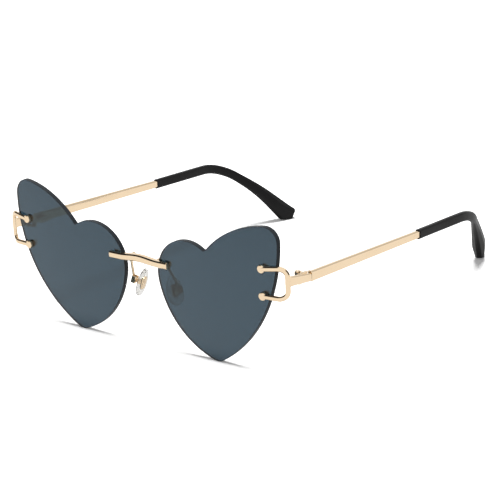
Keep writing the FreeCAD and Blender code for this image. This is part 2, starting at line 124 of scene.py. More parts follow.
# Straight runs with an arc at each inner point: centre + radius * (cos(angle) e1 + sin(angle) e2),
# with e1 and e2 square to each other in the corner's plane
def roundedRoute(points, radius, steps):
    points = [np.asarray(p, float) for p in points]
    route = [points[0][None]]
    for before, corner, after in zip(points, points[1:], points[2:]):
        a, b = unit(before - corner), unit(after - corner)
        half = np.arccos(np.clip(a @ b, -1, 1)) / 2
        centre = corner + unit(a + b) * radius / np.sin(half)
        e1 = unit(corner + a * radius / np.tan(half) - centre)
        e2 = unit(corner + b * radius / np.tan(half) - centre)
        e2 = unit(e2 - e1 * (e1 @ e2))
        angle = np.linspace(0, np.pi - 2 * half, steps)[:, None]
        route.append(centre + radius * (np.cos(angle) * e1 + np.sin(angle) * e2))
    return np.concatenate(route + [points[-1][None]])


# A shell is its points, its arrays of faces and a material number. Here ring i, point k is joined to its
# neighbours by quads; a fan closes the first and the last ring, or the last ring meets the first.
def tubeShell(rings, material=0, loop=False, startCap=True, endCap=True):
    rows, count = rings.shape[:2]
    k, total = np.arange(count), rows * count
    after = (k + 1) % count
    i = np.arange(rows if loop else rows - 1)[:, None] * count
    j = (i + count) % total
    faces = [columns(i + k, i + after, j + after, j + k).reshape(-1, 4)]
    points = np.concatenate([rings.reshape(-1, 3), rings[:1].mean(1), rings[-1:].mean(1)])
    last = total - count
    if startCap and not loop:
        faces.append(columns(after, k, total))
    if endCap and not loop:
        faces.append(columns(last + k, last + after, total + 1))
    return points, faces, material


# path + across * profile.x + up * profile.y, for every station and every profile point
def sweepShell(path, across, up, profile):
    across = np.broadcast_to(across, path.shape)[:, None]
    up = np.broadcast_to(up, path.shape)[:, None]
    return tubeShell(path[:, None] + across * profile[..., :1] + up * profile[..., 1:])


# A profile of (radius, depth) turned round an axis:
# origin + axis * depth + radius * (cos(angle) e1 + sin(angle) e2)
def latheShell(profile, origin, axis, side, count, loop=False):
    profile = np.asarray(profile, float)
    e1 = unit(side - axis * (axis @ side))
    around = circle(count) @ np.stack([e1, np.cross(axis, e1)])
    return tubeShell(origin + profile[:, 1, None, None] * axis + profile[:, :1, None] * around, loop=loop)


# A flat outline carried along the third axis from low to high, smaller by the cut at both ends
def slabRings(outline, origin, axes, low, high, cut):
    inset = outline - unit(outline - outline.mean(0)) * cut
    rows = np.stack([inset, outline, outline, inset])
    depth = np.array([low, low + abs(cut), high - abs(cut), high])[:, None, None]
    return origin + rows @ axes[:2] + depth * axes[2]


# The same slab with a bore, whose points stand at the outline's angles: wall, top, bore and foot in one loop
def boredSlab(outline, bore, origin, axes, low, high, cut):
    outer = slabRings(outline, origin, axes, low, high, cut)
    inner = slabRings(unit(outline) * bore, origin, axes, low, high, -cut / 2)
    return tubeShell(np.concatenate([outer, inner[::-1]]), loop=True)


# Rows of flat points, with each row's depth as their third number
def withDepth(flat, depth):
    return columns(flat[..., 0], flat[..., 1], depth[:, None])


# A box with round edges: a rounded rectangle carried along the third axis, smaller at both ends by
# radius * (1 - sin(angle)) at the depth radius * (1 - cos(angle))
def roundedBox(low, high, radius, origin=np.zeros(3), axes=np.eye(3)):
    low, high = np.asarray(low, float), np.asarray(high, float)
    size, middle = high - low, (low + high) / 2
    turn = np.linspace(0, np.pi / 2, 4)
    inset = radius * (1 - np.sin(np.concatenate([turn, turn[::-1]])))
    lift = radius * (1 - np.cos(turn))
    depth = np.concatenate([lift, size[2] - lift[::-1]]) - size[2] / 2
    outline = roundCorners(rectangle(size[0] - 2 * inset, size[1] - 2 * inset), radius)
    return tubeShell(origin + (withDepth(outline, depth) + middle) @ axes)


# x becomes -x
def mirrored(shells):
    return [(points * [-1, 1, 1], faces, material) for points, faces, material in shells]


# A new object at the origin, put into the scene
def addObject(name, data):
    item = bpy.data.objects.new(name, data)
    bpy.context.scene.collection.objects.link(item)
    return item


# Joins shells into one mesh at the origin, merges their seams and turns their faces outwards
def addPiece(name, shells, materials, body, node):
    offset, faces, numbers = 0, [], []
    for points, groups, material in shells:
        for group in groups:
            faces += (group + offset).tolist()
            numbers += [material] * len(group)
        offset += len(points)
    mesh = bpy.data.meshes.new(name)
    mesh.from_pydata((np.concatenate([shell[0] for shell in shells]) * mm).tolist(), [], faces)
    mesh.polygons.foreach_set("material_index", numbers)
    work = bmesh.new()
    work.from_mesh(mesh)
    bmesh.ops.remove_doubles(work, verts=work.verts, dist=mergeReach * mm)
    bmesh.ops.delete(work, geom=[v for v in work.verts if not v.link_faces], context="VERTS")
    bmesh.ops.recalc_face_normals(work, faces=work.faces)
    work.to_mesh(mesh)
    work.free()
    mesh.shade_smooth()
    mesh.set_sharp_from_angle(angle=math.radians(creaseAngle))
    for material in materials:
        mesh.materials.append(material)
    piece = addObject(name, mesh)
    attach(piece, body)
    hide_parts(node)
    return piece


# A left piece and its mirror image
def addPair(name, shells, materials, body, node):
    bodies = [body, body] if body == "front" else [body + "_left", body + "_right"]
    left = addPiece(name + "Left", shells, materials, bodies[0], node + "_left")
    right = addPiece(name + "Right", mirrored(shells), materials, bodies[1], node + "_right")
    return left, right


# Each socket in turn: another node's output is linked to it, and a plain value is set on it
def setSockets(tree, sockets, values):
    for socket, value in zip(sockets, values):
        if isinstance(value, bpy.types.NodeSocket):
            tree.links.new(value, socket)
        else:
            socket.default_value = value


# The same, with a node's sockets by name
def setNamed(tree, node, **named):
    setSockets(tree, [node.inputs[key.replace("_", " ")] for key in named], named.values())


# A node with its own settings and its sockets by name, or with its first sockets in order
def addNode(tree, kind, *values, **named):
    node = tree.nodes.new("ShaderNode" + kind)
    for key in [key for key in named if hasattr(node, key)]:
        setattr(node, key, named.pop(key))
    setNamed(tree, node, **named)
    setSockets(tree, node.inputs, values)
    return node


# One number worked out from others, by the operation's name
def arithmetic(tree, operation, *values):
    return addNode(tree, "Math", *values, operation=operation).outputs[0]


# An empty shader group, whose inputs are a place, one of its own and the two ends of its roughness
def newGroup(name, ownLabel, ownKind):
    group = bpy.data.node_groups.new(name, "ShaderNodeTree")
    inputs = (("Place", "Vector"), (ownLabel, ownKind), ("Smoothest", "Float"), ("Roughest", "Float"))
    for label, kind in inputs:
        group.interface.new_socket(label, in_out="INPUT", socket_type="NodeSocket" + kind)
    for label in ("Tone", "Height", "Roughness"):
        group.interface.new_socket(label, in_out="OUTPUT", socket_type="NodeSocketFloat")
    return group, group.nodes.new("NodeGroupInput").outputs


# roughness = smoothest + (roughest - smoothest) * (value, spread from low..high to 0..1)
def closeGroup(group, given, tone, height, value, low, high):
    spread = addNode(group, "MapRange", Value=value, From_Min=low, From_Max=high,
                     To_Min=given["Smoothest"], To_Max=given["Roughest"])
    setSockets(group, group.nodes.new("NodeGroupOutput").inputs, (tone, height, spread.outputs["Result"]))
    return group


# Fine noise stretched along one way, as polishing leaves it, and broad smudges;
# the roughness follows lines * smudge
def polishMarks():
    group, given = newGroup("polishMarks", "Stretch", "Vector")
    along = addNode(group, "VectorMath", given["Place"], given["Stretch"], operation="MULTIPLY").outputs[0]
    lines = addNode(group, "TexNoise", Vector=along, Scale=900.0, Detail=3.0, Roughness=0.6).outputs["Fac"]
    smudge = addNode(group, "TexNoise", Vector=given["Place"], Scale=140.0, Detail=2.0).outputs["Fac"]
    both = arithmetic(group, "MULTIPLY", lines, smudge)
    return closeGroup(group, given, smudge, lines, both, low=0.1, high=0.45)


# One noise as fine as a moulded skin and one as broad as its flow marks; the roughness follows the broad one
def mouldGrain():
    group, given = newGroup("mouldGrain", "Size", "Float")
    place, size = given["Place"], given["Size"]
    fine = addNode(group, "TexNoise", Vector=place, Scale=size, Detail=4.0, Roughness=0.65).outputs["Fac"]
    broad = addNode(group, "TexNoise", Vector=place, Scale=90.0, Detail=3.0).outputs["Fac"]
    return closeGroup(group, given, broad, fine, broad, low=0.3, high=0.7)


# A material, its nodes, its shader with the plain values set, and the places on the surface
def newMaterial(name, **sockets):
    material = bpy.data.materials.new(name)
    material.use_nodes = True
    tree = material.node_tree
    shader = tree.nodes["Principled BSDF"]
    setNamed(tree, shader, **sockets)
    return material, tree, shader, addNode(tree, "TexCoord").outputs["Object"]


# low + (high - low) * factor, for colours
def colourBetween(tree, factor, low, high):
    ramp = addNode(tree, "ValToRGB", Fac=factor)
    ramp.color_ramp.elements[0].color = low + (1,)
    ramp.color_ramp.elements[1].color = high + (1,)
    return ramp.outputs["Color"]


# The group's tone runs between the look's two colours, and its height stands out by the look's bump
def finishedMaterial(name, group, look, **sockets):
    material, tree, shader, place = newMaterial(name, **sockets)
    marks = addNode(tree, "Group", node_tree=group, Place=place, Smoothest=look["smoothest"],
                    Roughest=look["roughest"], **look["marks"]).outputs
    colour = colourBetween(tree, marks["Tone"], *look["tones"])
    setNamed(tree, shader, Base_Color=colour, Roughness=marks["Roughness"])
    if "bump" in look:
        strength, distance = look["bump"]
        bump = addNode(tree, "Bump", Height=marks["Height"], Strength=strength, Distance=distance)
        setNamed(tree, shader, Normal=bump.outputs["Normal"])
    return material


# The lens's own smoke tint in the middle, and painted shade at its top and foot
lensTintAndPaintedShade = {"middle": (0.032, 0.064, 0.090), "ends": (0.027, 0.056, 0.080)}


# The lens's colour darkens towards its top and its foot, which is painted shade: factor = (height above the
# middle / half height)^2
def lensMaterial():
    material, tree, shader, place = newMaterial("smokeLens", Roughness=0.0, IOR=1.5, Transmission_Weight=1.0)
    split = addNode(tree, "SeparateXYZ", place)
    height = addNode(tree, "MapRange", Value=split.outputs["Z"], From_Max=lensHeight * mm, To_Min=-1.0)
    square = arithmetic(tree, "MULTIPLY", height.outputs["Result"], height.outputs["Result"])
    setNamed(tree, shader, Base_Color=colourBetween(tree, square, lensTintAndPaintedShade["middle"], lensTintAndPaintedShade["ends"]))
    return material


# Plated metal, with polishing lines along its stretch and a tone that wanders a little
goldLook = {"tones": ((0.90, 0.715, 0.50), (0.87, 0.675, 0.455)), "smoothest": 0.08, "roughest": 0.22,
            "marks": {"Stretch": (1.0, 1.0, 1.0)}, "bump": (0.04, 0.0001)}
goldBarLook = dict(goldLook, marks={"Stretch": (3.0, 0.08, 3.0)})  # lines along the temple
# The rim is deep tint all the way through, so it is dark, and dull enough to stay dark from inside the lens
edgeLook = {"tones": ((0.028, 0.032, 0.037), (0.044, 0.049, 0.056)), "smoothest": 0.15, "roughest": 0.35,
            "marks": {"Stretch": (1.0, 0.1, 1.0)}}
# Satin black plastic with a fine moulded skin
tipLook = {"tones": ((0.0055, 0.0055, 0.006), (0.009, 0.0085, 0.0085)), "smoothest": 0.34, "roughest": 0.48,
           "marks": {"Size": 2600.0}, "bump": (0.25, 0.00004)}
# Clear silicone, clouded a little where it flowed
padLook = {"tones": ((0.87, 0.86, 0.835), (0.80, 0.785, 0.75)), "smoothest": 0.04, "roughest": 0.12,
           "marks": {"Size": 3200.0}, "bump": (0.08, 0.00003)}
# Milky nylon
washerLook = {"tones": ((0.80, 0.80, 0.77), (0.66, 0.66, 0.63)), "smoothest": 0.3, "roughest": 0.5,
              "marks": {"Size": 3000.0}}

polishGroup = polishMarks()
grainGroup = mouldGrain()
gold = finishedMaterial("paleGold", polishGroup, goldLook, Metallic=1.0, IOR=1.5)
goldBar = finishedMaterial("paleGoldBar", polishGroup, goldBarLook, Metallic=1.0, IOR=1.5)
smokeLens = lensMaterial()
lensEdge = finishedMaterial("lensEdge", polishGroup, edgeLook, IOR=1.5, Specular_IOR_Level=0.04)
blackTip = finishedMaterial("blackTip", grainGroup, tipLook, IOR=1.47, Specular_IOR_Level=0.2)
silicone = finishedMaterial("clearSilicone", grainGroup, padLook, IOR=1.2, Transmission_Weight=0.93)
nylon = finishedMaterial("nylonWasher", grainGroup, washerLook, IOR=1.5, Transmission_Weight=0.4)
print("materials made:", len(bpy.data.materials))

lensForm = {
    "width": 56.4, "gap": 16.4, "thickness": 2.0, "curve": 283.0, "wrap": 1.5, "tilt": 0.85,
    "lobeRadius": 15.2, "lobeDrop": 10.4, "cornerRadius": 5.9, "tipRadius": 5.0, "tipOffset": 25.6,
    "innerSide": 34.9, "outerSide": 57.0, "topEdge": 38.5, "notchOffset": 23.8, "notchRound": 0.55,
    "edgeCut": 0.16, "holeRadius": 0.7, "spacing": 0.3, "grid": 1.5, "edgeMargin": 0.5, "holeMargin": 0.6,
    "clawInset": 4.2, "clawZ": 33.95, "prongInset": 2.9, "prongTop": 40.2, "prongFoot": 30.0,
}
lensInner = lensForm["gap"] / 2
lensOuter = lensInner + lensForm["width"]
lensCentre = np.array([(lensInner + lensOuter) / 2, lensFrontY, lensHeight / 2])
lensCentre += unit([-tangent(lensForm["wrap"]), 1, tangent(lensForm["tilt"])]) * lensForm["curve"]
holeRing = lensForm["holeRadius"] * circle(36)


# The point at both distances from two centres, to the left of the line from a to b
def circleMeet(a, radiusA, b, radiusB):
    between = b - a
    length = np.hypot(*between)
    along = (radiusA ** 2 - radiusB ** 2 + length ** 2) / (2 * length)
    aside = math.sqrt(radiusA ** 2 - along ** 2)
    return a + between / length * along + np.array([-between[1], between[0]]) / length * aside


# Centres of the heart's six arcs in x and z, each touching the next from inside, and the point of its notch
def heartCentres():
    f = lensForm
    lobe = np.array([lensInner + f["lobeRadius"], lensHeight - f["lobeDrop"] - f["lobeRadius"]])
    corner = np.array([lensOuter - f["cornerRadius"], lensHeight - f["cornerRadius"]])
    tip = np.array([lensInner + f["tipOffset"], f["tipRadius"]])
    notchX = lensInner + f["notchOffset"]
    notch = np.array([notchX, lobe[1] + math.sqrt(f["lobeRadius"] ** 2 - (notchX - lobe[0]) ** 2)])
    inner = circleMeet(lobe, f["innerSide"] - f["lobeRadius"], tip, f["innerSide"] - f["tipRadius"])
    outer = circleMeet(tip, f["outerSide"] - f["tipRadius"], corner, f["outerSide"] - f["cornerRadius"])
    top = circleMeet(corner, f["topEdge"] - f["cornerRadius"], notch, f["topEdge"])
    return lobe, corner, tip, notch, inner, outer, top


# The claw's hole, and the two prong holes in from the outer side's arc at the lower one's height
def holePlaces():
    f = lensForm
    outer = heartCentres()[5]
    edgeX = outer[0] + math.sqrt(f["outerSide"] ** 2 - (f["prongFoot"] - outer[1]) ** 2)
    prongX = edgeX - f["prongInset"]
    claw = [lensInner + f["clawInset"], f["clawZ"]]
    return np.array([claw, [prongX, f["prongTop"]], [prongX, f["prongFoot"]]])


lensHoles = holePlaces()
clawHole, prongHoles = lensHoles[0], lensHoles[1:]


# y of the ball of radius (curve - depth) about the lens's centre
def lensY(x, z, depth=0.0):
    reach = (lensForm["curve"] - depth) ** 2 - (x - lensCentre[0]) ** 2 - (z - lensCentre[2]) ** 2
    return lensCentre[1] - np.sqrt(reach)


# Points of x and z set on that ball
def onLens(flat, depth=0.0):
    x, z = flat[..., 0], flat[..., 1]
    return columns(x, lensY(x, z, depth), z)


# The front face's point over a hole, and the way straight back through the lens
def lensSpot(hole):
    point = onLens(hole)
    return point, unit(lensCentre - point)


# centre + radius * (cos(angle), sin(angle)) over the short way from start to end, without the end itself
def arcPoints(centre, start, end):
    radius = np.hypot(*(start - centre))
    first = math.atan2(start[1] - centre[1], start[0] - centre[0])
    last = math.atan2(end[1] - centre[1], end[0] - centre[0])
    turn = (last - first + np.pi) % (2 * np.pi) - np.pi
    angle = first + turn * np.linspace(0, 1, int(abs(turn) * radius / lensForm["spacing"]) + 4)[:-1]
    return centre + radius * onCircle(angle)


# The heart in x and z: six arcs that run into each other, with the notch's point eased by a parabola
def heartOutline():
    f = lensForm
    lobe, corner, tip, notch, inner, outer, top = heartCentres()
    touching = ((lobe, inner, f["lobeRadius"]), (tip, inner, f["tipRadius"]), (tip, outer, f["tipRadius"]),
                (corner, outer, f["cornerRadius"]), (corner, top, f["cornerRadius"]))
    stops = [notch] + [small + unit(small - large) * radius for small, large, radius in touching] + [notch]
    arcs = zip((lobe, inner, tip, outer, corner, top), stops, stops[1:])
    outline = np.concatenate([arcPoints(*arc) for arc in arcs])
    outline = outline[np.hypot(*(outline - notch).T) > f["notchRound"]]
    eased = parabola(outline[-1], notch, outline[0], np.linspace(0, 1, 8)[1:-1, None])
    return np.concatenate([outline, eased])


# Each point moves by reach along the inward normal of the loop
def insetLoop(loop, reach):
    along = unit(np.roll(loop, -1, 0) - np.roll(loop, 1, 0))
    area = np.sum(loop[:, 0] * np.roll(loop[:, 1], -1) - loop[:, 1] * np.roll(loop[:, 0], -1))
    return loop + np.sign(area) * reach * columns(-along[:, 1], along[:, 0])


# Counts how often a ray to the right of each point crosses the loop; a level edge is never crossed
def insideLoop(points, loop):
    a, b = loop, np.roll(loop, -1, 0)
    x, z = points[:, :1], points[:, 1:]
    crosses = (a[:, 1] > z) != (b[:, 1] > z)
    rise = np.where(b[:, 1] == a[:, 1], 1, b[:, 1] - a[:, 1])
    return np.sum(crosses & (x < a[:, 0] + (z - a[:, 1]) / rise * (b[:, 0] - a[:, 0])), 1) % 2 == 1


# Distance of each point from the nearest of a few places
def nearest(points, places):
    return np.min(np.hypot(*(points[:, None] - places).transpose(2, 0, 1)), 1)


# The face at a depth: a triangle net over the outline without the holes, set on the ball by lensY
def lensFace(outline, holes, depth):
    f, step = lensForm, lensForm["grid"]
    x, z = np.meshgrid(np.arange(lensInner, lensOuter, step), np.arange(0, lensHeight, step))
    x = x + step / 2 * (np.arange(len(x)) % 2)[:, None]
    net = columns(x.ravel(), z.ravel())
    clear = nearest(net, holes) > f["holeRadius"] + f["holeMargin"]
    net = net[insideLoop(net, insetLoop(outline, f["edgeMargin"])) & clear]
    loops = [outline] + [place + holeRing for place in holes]
    edges, first = [], 0
    for loop in loops:
        k = np.arange(len(loop))
        edges += columns(first + k, first + (k + 1) % len(loop)).tolist()
        first += len(loop)
    enclosed, tolerance = 1, 1e-6
    found = delaunay_2d_cdt(np.concatenate(loops + [net]).tolist(), edges, [], enclosed, tolerance)
    spots, faces = np.array(found[0]), np.array(found[2])
    middle = spots[faces].mean(1)
    keep = insideLoop(middle, outline) & (nearest(middle, holes) > f["holeRadius"] * 0.98)  # no lid on a hole
    return onLens(spots, depth), [faces[keep]], 0


# Rows of the rim: inset at the front, full width just behind it and just before the back, inset at the back
def lensRim(outline, inset):
    cut, thick = lensForm["edgeCut"], lensForm["thickness"]
    rings = [onLens(inset), onLens(outline) + backward * cut, onLens(outline, thick) - backward * cut,
             onLens(inset, thick)]
    return tubeShell(np.stack(rings), material=1, startCap=False, endCap=False)


# Two faces, the rim and the holes' walls; each hole's back lies at front + way back * thickness
def lensShells():
    outline = heartOutline()
    inset = insetLoop(outline, lensForm["edgeCut"])
    thick = lensForm["thickness"]
    backHoles = np.array([(point + back * thick)[[0, 2]] for point, back in map(lensSpot, lensHoles)])
    shells = [lensFace(inset, lensHoles, 0.0), lensFace(inset, backHoles, thick), lensRim(outline, inset)]
    for front, back in zip(lensHoles, backHoles):
        wall = np.stack([onLens(front + holeRing), onLens(back + holeRing, thick)])
        shells.append(tubeShell(wall, material=1, startCap=False, endCap=False))
    return shells


addPair("lens", lensShells(), [smokeLens, lensEdge], "front", "lens")
print("lenses made")

mountForm = {
    "bore": 0.62, "seat": 0.03, "washerRadius": 1.45, "washerThickness": 0.3, "washerRound": 0.1,
    "nutAcross": 2.2, "nutHeight": 1.1, "nutCut": 0.18, "nutCone": (0.97, 1.03, 1.2), "coneStep": 0.3,
    "boreCut": 0.06, "studRadius": 0.6, "studEmbed": 0.8, "studShort": 0.04,
    "studDome": ((0.0, 0.12), (0.05, 0.05), (0.16, 0.0), (0.5, 0.0)),  # in from the side, down from the end
}
washerSeat = lensForm["thickness"] + mountForm["seat"]
nutSeat = washerSeat + mountForm["washerThickness"] + mountForm["seat"]
nutTop = nutSeat + mountForm["nutHeight"]


# A ring with eased rims: a rounded rectangle of (radius, depth) turned round the hole's axis
def washerShell(hole):
    f = mountForm
    point, back = lensSpot(hole)
    bore, rim, top = f["bore"], f["washerRadius"], washerSeat + f["washerThickness"]
    corners = [[bore, washerSeat], [rim, washerSeat], [rim, top], [bore, top]]
    return latheShell(roundCorners(corners, f["washerRound"]), point, back, upward, 48, loop=True)


# The radius is the smaller of a hexagon's, half / cos(angle from the nearest flat), and a cone's,
# and then the wall goes back down the bore
def nutShell(hole):
    f = mountForm
    point, back = lensSpot(hole)
    count, half, cut = 72, f["nutAcross"] / 2, f["nutCut"]
    step, lead = f["coneStep"] * cut, f["boreCut"]
    angle = 2 * np.pi * np.arange(count) / count
    hexagon = half / np.cos((angle + np.pi / 6) % (np.pi / 3) - np.pi / 6)
    cone = half * np.array(f["nutCone"] + f["nutCone"][::-1])
    bore = f["bore"] + lead * np.array([1, 0, 0, 1])
    radius = np.concatenate([np.minimum(hexagon, cone[:, None]), np.tile(bore[:, None], (1, count))])
    depth = np.array([nutSeat, nutSeat + step, nutSeat + cut, nutTop - cut, nutTop - step, nutTop,
                      nutTop, nutTop - lead, nutSeat + lead, nutSeat])
    side = unit(np.cross(upward, back))
    around = circle(count) @ np.stack([side, np.cross(back, side)])
    return tubeShell(point + depth[:, None, None] * back + radius[..., None] * around, loop=True)


# A post with a low domed end, from inside the metal to just under the nut's face
def studShell(hole):
    f, r = mountForm, mountForm["studRadius"]
    point, back = lensSpot(hole)
    end = nutTop - f["studShort"]
    profile = [[r, -f["studEmbed"]]] + [[r - aside, end - down] for aside, down in f["studDome"]]
    return latheShell(profile, point, back, upward, 32)


washers = [washerShell(hole) for hole in lensHoles]
nuts = [nutShell(hole) for hole in lensHoles]
addPiece("lensWashers", washers + mirrored(washers), [nylon], "front", "lens_washers")
addPiece("lensNuts", nuts + mirrored(nuts), [gold], "front", "lens_nuts")
print("washers and nuts made")

bridgeForm = {
    "height": 33.95, "rise": 0.65, "archHalf": 9.6, "barHeight": 2.7, "barDepth": 2.3, "clawHeight": 2.55,
    "clawThickness": 1.6, "clawEnd": lensInner + 6.1, "endRound": 0.3, "frontCut": 0.48, "backCut": 0.2,
    "cutShare": 0.3, "edgeRound": 0.07, "stepStart": lensInner - 0.9, "stepLength": 0.8,
}
bridgeFront = lensY(*clawHole) - bridgeForm["clawThickness"]


# (1 + cos(pi |x| / archHalf)) / 2: 1 at the middle, 0 from the claws outwards
def bridgeLift(x):
    return (1 + np.cos(np.pi * np.minimum(1, np.abs(x) / bridgeForm["archHalf"]))) / 2


# A bar along x whose back steps forward where the lenses begin;
# its ends close in by round * (1 - sqrt(1 - t^2))
def bridgeShells():
    f = bridgeForm
    t = np.sin(np.linspace(0, np.pi / 2, 8))
    bar = np.linspace(0, f["clawEnd"] - f["endRound"], 60)[:-1]
    x = np.concatenate([bar, f["clawEnd"] - f["endRound"] * (1 - t)])
    closing = np.concatenate([np.zeros(len(bar)), f["endRound"] * (1 - np.sqrt(1 - t ** 2))])
    x, closing = np.concatenate([-x[:0:-1], x]), np.concatenate([closing[:0:-1], closing])
    lift = bridgeLift(x)
    height = f["clawHeight"] + (f["barHeight"] - f["clawHeight"]) * lift - 2 * closing
    z = f["height"] + f["rise"] * lift
    front = bridgeFront + closing
    share = ease((np.abs(x) - f["stepStart"]) / f["stepLength"])
    back = (front + f["barDepth"]) * (1 - share) + (lensY(np.abs(x), z) - mountForm["seat"]) * share
    path = columns(x, (front + back) / 2, z)
    cutFront = np.minimum(f["frontCut"], height * f["cutShare"])
    profile = roundCorners(bevelled(back - front, height, cutFront, f["backCut"]), f["edgeRound"])
    stud = studShell(clawHole)
    return [sweepShell(path, backward, upward, profile), stud] + mirrored([stud])


addPiece("bridgeBar", bridgeShells(), [gold], "front", "bridge")
print("bridge made")

endForm = {
    "foldX": lensOuter + 0.5, "bowX": lensOuter + 3.4, "bowTop": 41.5, "bowFoot": 29.9, "bend": 2.9,
    "sweep": 1.4, "sweepBlend": 0.5, "width": 1.9, "thickness": 1.4, "cut": 0.42, "edgeRound": 0.1,
    "blockZ": 36.4, "blockHeight": 3.7, "blockThickness": 1.8, "blockCut": 0.36, "flare": 1.3,
    "flareShare": 0.05, "seamHeight": 3.05, "seamRise": 0.25, "seamCut": 0.16, "bossRadius": 1.55,
    "bossRim": ((0.06, 0.03), (0.0, 0.09), (0.0, 0.95), (0.03, 1.1), (0.12, 1.22), (0.28, 1.31), (0.55, 1.37),
                (0.9, 1.41), (1.3, 1.43)),  # in from the side, out from the lens
}
hingeForm = {
    "seam": np.array([lensOuter + 3.65, lensFrontY + 15.3, 34.35]), "toAxis": (-2.75, -3.3, 0.75),
    "radius": 1.25, "bore": 0.62, "turnBore": 0.64, "half": 1.99, "middleHalf": 0.8, "middleCut": 0.1,
    "outerHeight": 1.15, "outerReach": 1.85, "outerCut": 0.12,
    "leafHalf": 2.3, "leafNear": 1.42, "leafFar": 2.3, "leafRound": 0.2,
    "screwRadius": 0.6, "headRadius": 1.0, "headHeight": 0.4, "headGap": 0.03,
    "slot": 0.14, "slotWay": (0.8, 0.6, 0.0),
}
hingeAxis = hingeForm["seam"] + hingeForm["toAxis"]


# Where the stirrup's middle layer lies: in front of the lens, then sweeping back behind the fold
# by slope * (sqrt(d^2 + blend^2) + d) / 2
def stirrupY(x, z):
    f = endForm
    d = x - f["foldX"]
    sweep = f["sweep"] / (f["bowX"] - f["foldX"]) * (np.sqrt(d * d + f["sweepBlend"] ** 2) + d) / 2
    return lensY(x, z) - mountForm["seat"] - f["thickness"] / 2 + sweep


# A bevelled bar along the loop from one boss round the bow to the other, its flat face out of the layer
def stirrupShell():
    f = endForm
    (x, top), (x, foot) = prongHoles
    corners = [[x, top], [f["bowX"], f["bowTop"]], [f["bowX"], f["bowFoot"]], [x, foot]]
    flat = roundedRoute(corners, f["bend"], 26)
    run = np.concatenate([[0], np.cumsum(np.hypot(*np.diff(flat, axis=0).T))])
    even = np.linspace(0, run[-1], 150)
    x, z = np.interp(even, run, flat[:, 0]), np.interp(even, run, flat[:, 1])
    path = columns(x, stirrupY(x, z), z)
    along = unit(np.gradient(path, axis=0))
    step = 0.05
    lean = (stirrupY(x + step, z) - stirrupY(x - step, z)) / (2 * step)
    face = columns(lean, -1, 0)
    face = unit(face - along * np.sum(face * along, 1, keepdims=True))
    profile = roundCorners(bevelled(f["thickness"], f["width"], f["cut"]), f["edgeRound"])
    return sweepShell(path, face, np.cross(face, along), profile)


# A round boss with an eased rim and a low crown, turned round the hole's axis
def bossShell(hole):
    f = endForm
    point, back = lensSpot(hole)
    profile = [[f["bossRadius"] - aside, out] for aside, out in f["bossRim"]]
    return latheShell(profile, point, -back, upward, 48)


# A bevelled section that moves from the bow to the seam, higher by flare * exp(-u / flareShare) near the bow
def blockShell():
    f = endForm
    near, far = np.linspace(0, 0.2, 14), np.linspace(0.25, 0.985, 10)  # close together in the flare
    u = np.concatenate([near, far, [1.0]])
    start = np.array([f["bowX"], stirrupY(f["bowX"], f["blockZ"]), f["blockZ"]])
    end = hingeForm["seam"] + upward * f["seamRise"]
    ending = np.where(u == 1, f["seamCut"], 0.0)
    height = f["blockHeight"] + (f["seamHeight"] - f["blockHeight"]) * u - ending
    height += f["flare"] * np.exp(-u / f["flareShare"])
    profile = roundCorners(bevelled(f["blockThickness"] - ending, height, f["blockCut"]), f["edgeRound"])
    return sweepShell(start + (end - start) * u[:, None], rightward, upward, profile)


# A knuckle from above: a half round about the axis, carried on to the leaf
def knuckleOutline(reach):
    r = hingeForm["radius"]
    halfRound = r * onCircle(np.linspace(np.pi / 2, 3 * np.pi / 2, 25))
    run, across = np.linspace(0, reach, 8)[1:-1], np.linspace(-r, r, 9)
    low = columns(run, -r)
    return np.concatenate([halfRound, low, columns(reach, across), low[::-1] * [1, -1]])


# The stirrup, the block, two bosses with their studs, and the hinge's leaf with an outer knuckle at each end
def endPieceShells():
    h = hingeForm
    shells = [stirrupShell(), blockShell()] + [bossShell(hole) for hole in prongHoles]
    shells += [studShell(hole) for hole in prongHoles]
    leafLow = hingeAxis + [h["leafNear"], -h["leafHalf"], -h["half"]]
    leafHigh = hingeAxis + [h["leafFar"], h["leafHalf"], h["half"]]
    shells.append(roundedBox(leafLow, leafHigh, h["leafRound"]))
    outline = knuckleOutline(h["outerReach"])
    for low in (-h["half"], h["half"] - h["outerHeight"]):
        high = low + h["outerHeight"]
        shells.append(boredSlab(outline, h["bore"], hingeAxis, np.eye(3), low, high, h["outerCut"]))
    return shells


addPair("endPiece", endPieceShells(), [gold], "front", "end_piece")
print("end pieces made")

screwForm = {"footCut": 0.06, "slotFloor": 0.45, "overlap": 0.02, "headCut": 0.05}


# A shank and a low head whose upper part is two half discs, with the driver's slot between them;
# each half disc runs from -edge to edge, where cos(edge) = slot / radius
def slottedScrew(foot, axis, side, length, form):
    f, cut, shank, head = screwForm, screwForm["footCut"], form["screwRadius"], form["headRadius"]
    floor = length + form["headHeight"] * f["slotFloor"]
    profile = [[shank - cut, 0], [shank, cut], [shank, length], [head, length], [head, floor]]
    shells = [latheShell(profile, foot, axis, side, 40)]
    axes = np.stack([side, np.cross(axis, side), axis])
    half = head * onCircle(np.linspace(-1, 1, 22) * math.acos(form["slot"] / head))
    for turned in (half, -half):
        rings = slabRings(turned, foot, axes, floor - f["overlap"], length + form["headHeight"], f["headCut"])
        shells.append(tubeShell(rings))
    return shells


# The screw stands on the knuckles' foot, and its head just clears their top
def hingeScrewShells():
    h = hingeForm
    foot = hingeAxis - upward * h["half"]
    return slottedScrew(foot, upward, np.array(h["slotWay"]), 2 * h["half"] + h["headGap"], h)


addPair("hingeScrew", hingeScrewShells(), [gold], "front", "hinge_screw")
print("hinge screws made")

